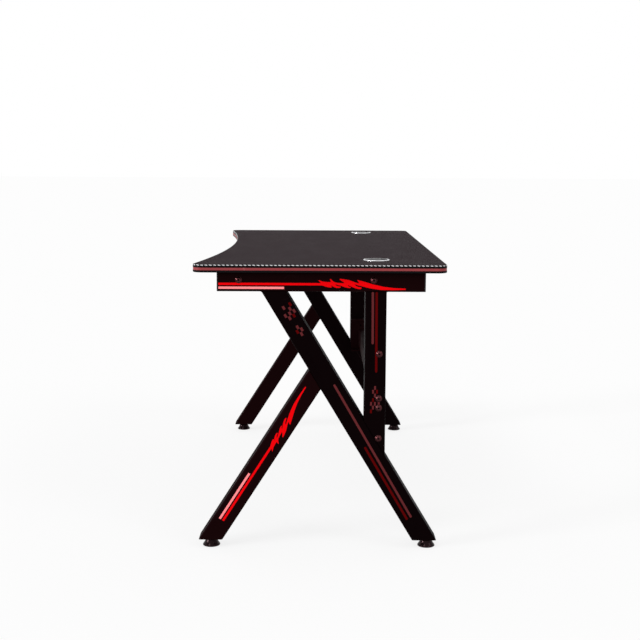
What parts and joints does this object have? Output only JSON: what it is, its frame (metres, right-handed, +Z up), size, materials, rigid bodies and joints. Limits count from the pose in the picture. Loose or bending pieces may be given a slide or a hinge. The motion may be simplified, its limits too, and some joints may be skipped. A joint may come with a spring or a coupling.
{
  "type": "gaming desk",
  "caption": "Gaming desk with a concave front edge, cable grommets with turning caps near the rear corners, and K-shaped steel leg frames on levelling feet.",
  "frame": {"origin": "on the floor, under the middle of the tabletop's bounding box", "axes": "+X along the desk's length, towards the end that the picture is taken from; -Y is the user's side, with the concave edge; +Z up"},
  "size_m": [1.4, 0.65, 0.7581],
  "materials": {
    "board_core": "raw particle board",
    "laminate": "charcoal melamine, fine grain, satin",
    "backing": "plain black foil",
    "edge_black": "satin, the upper lip printed with a pale twill",
    "edge_red": "satin",
    "grommet_silver": "metallised",
    "grommet_black": "fine grain",
    "satin_steel": "satin powder coat",
    "gloss_steel": "semi-gloss powder coat",
    "plug_black": "matt moulded",
    "zinc": "zinc plated",
    "glide_black": "moulded, satin",
    "sole_rubber": "matt",
    "bolt_bronze": "black nickel, glossy",
    "insert_brass": "plain",
    "film_red": "printed film",
    "film_pale": "printed film",
    "film_dark_red": "printed film",
    "film_dark_pale": "printed film"
  },
  "bodies": {
    "desk": {"top_board": "board_core", "top_laminate": "laminate", "backing_sheet": "backing", "edge_band": "edge_black", "edge_strip": "edge_red", "right_grommet_liner": "grommet_silver", "left_grommet_liner": "grommet_silver", "right_top_rail": "satin_steel", "left_top_rail": "satin_steel", "right_long_leg": "gloss_steel", "left_long_leg": "gloss_steel", "right_short_leg": "satin_steel", "left_short_leg": "satin_steel", "right_post": "gloss_steel", "left_post": "gloss_steel", "rail_end_plugs": "plug_black", "foot_plates": "satin_steel", "foot_bushes": "zinc", "front_beam": "satin_steel", "rear_beam": "satin_steel", "beam_end_plates": "satin_steel", "crossbar": "satin_steel", "crossbar_brackets": "satin_steel", "rail_bolts": "bolt_bronze", "crossbar_bolts": "bolt_bronze", "post_bolts": "bolt_bronze", "post_nuts": "zinc", "board_screws": "zinc", "board_inserts": "insert_brass", "rail_red_film": "film_red", "rail_pale_film": "film_pale", "short_leg_red_film": "film_red", "short_leg_pale_film": "film_pale", "long_leg_red_film": "film_dark_red", "long_leg_pale_film": "film_dark_pale", "post_red_film": "film_dark_red", "post_pale_film": "film_dark_pale"},
    "right_cap": {"right_grommet_cap": "grommet_black"},
    "left_cap": {"left_grommet_cap": "grommet_black"},
    "right_front_foot": {"right_front_glide": "glide_black", "right_front_sole": "sole_rubber"},
    "right_rear_foot": {"right_rear_glide": "glide_black", "right_rear_sole": "sole_rubber"},
    "left_front_foot": {"left_front_glide": "glide_black", "left_front_sole": "sole_rubber"},
    "left_rear_foot": {"left_rear_glide": "glide_black", "left_rear_sole": "sole_rubber"},
    "right_front_screw": {"right_front_stud": "zinc"},
    "right_rear_screw": {"right_rear_stud": "zinc"},
    "left_front_screw": {"left_front_stud": "zinc"},
    "left_rear_screw": {"left_rear_stud": "zinc"}
  },
  "joints": [
    {"name": "right_cap_turn", "type": "hinge", "parent": "desk", "child": "right_cap", "pos_m": [0.56, 0.15, 0.755], "axis": [0, 0, 1], "continuous": true},
    {"name": "left_cap_turn", "type": "hinge", "parent": "desk", "child": "left_cap", "pos_m": [-0.56, 0.15, 0.755], "axis": [0, 0, 1], "continuous": true},
    {"name": "right_front_level", "type": "slide", "parent": "desk", "child": "right_front_foot", "axis": [0, 0, -1], "range_m": [0, 0.012]},
    {"name": "right_rear_level", "type": "slide", "parent": "desk", "child": "right_rear_foot", "axis": [0, 0, -1], "range_m": [0, 0.012]},
    {"name": "left_front_level", "type": "slide", "parent": "desk", "child": "left_front_foot", "axis": [0, 0, -1], "range_m": [0, 0.012]},
    {"name": "left_rear_level", "type": "slide", "parent": "desk", "child": "left_rear_foot", "axis": [0, 0, -1], "range_m": [0, 0.012]},
    {"name": "right_front_turn", "type": "hinge", "parent": "right_front_foot", "child": "right_front_screw", "pos_m": [0.651, -0.286, 0.02], "axis": [0, 0, -1], "range_deg": [0, 3456]},
    {"name": "right_rear_turn", "type": "hinge", "parent": "right_rear_foot", "child": "right_rear_screw", "pos_m": [0.651, 0.286, 0.02], "axis": [0, 0, -1], "range_deg": [0, 3456]},
    {"name": "left_front_turn", "type": "hinge", "parent": "left_front_foot", "child": "left_front_screw", "pos_m": [-0.651, -0.286, 0.02], "axis": [0, 0, -1], "range_deg": [0, 3456]},
    {"name": "left_rear_turn", "type": "hinge", "parent": "left_rear_foot", "child": "left_rear_screw", "pos_m": [-0.651, 0.286, 0.02], "axis": [0, 0, -1], "range_deg": [0, 3456]}
  ],
  "couplings": [
    {"joint": "right_front_turn", "follows": "right_front_level", "rad_per_m": 5026.5},
    {"joint": "right_rear_turn", "follows": "right_rear_level", "rad_per_m": 5026.5},
    {"joint": "left_front_turn", "follows": "left_front_level", "rad_per_m": 5026.5},
    {"joint": "left_rear_turn", "follows": "left_rear_level", "rad_per_m": 5026.5}
  ]
}
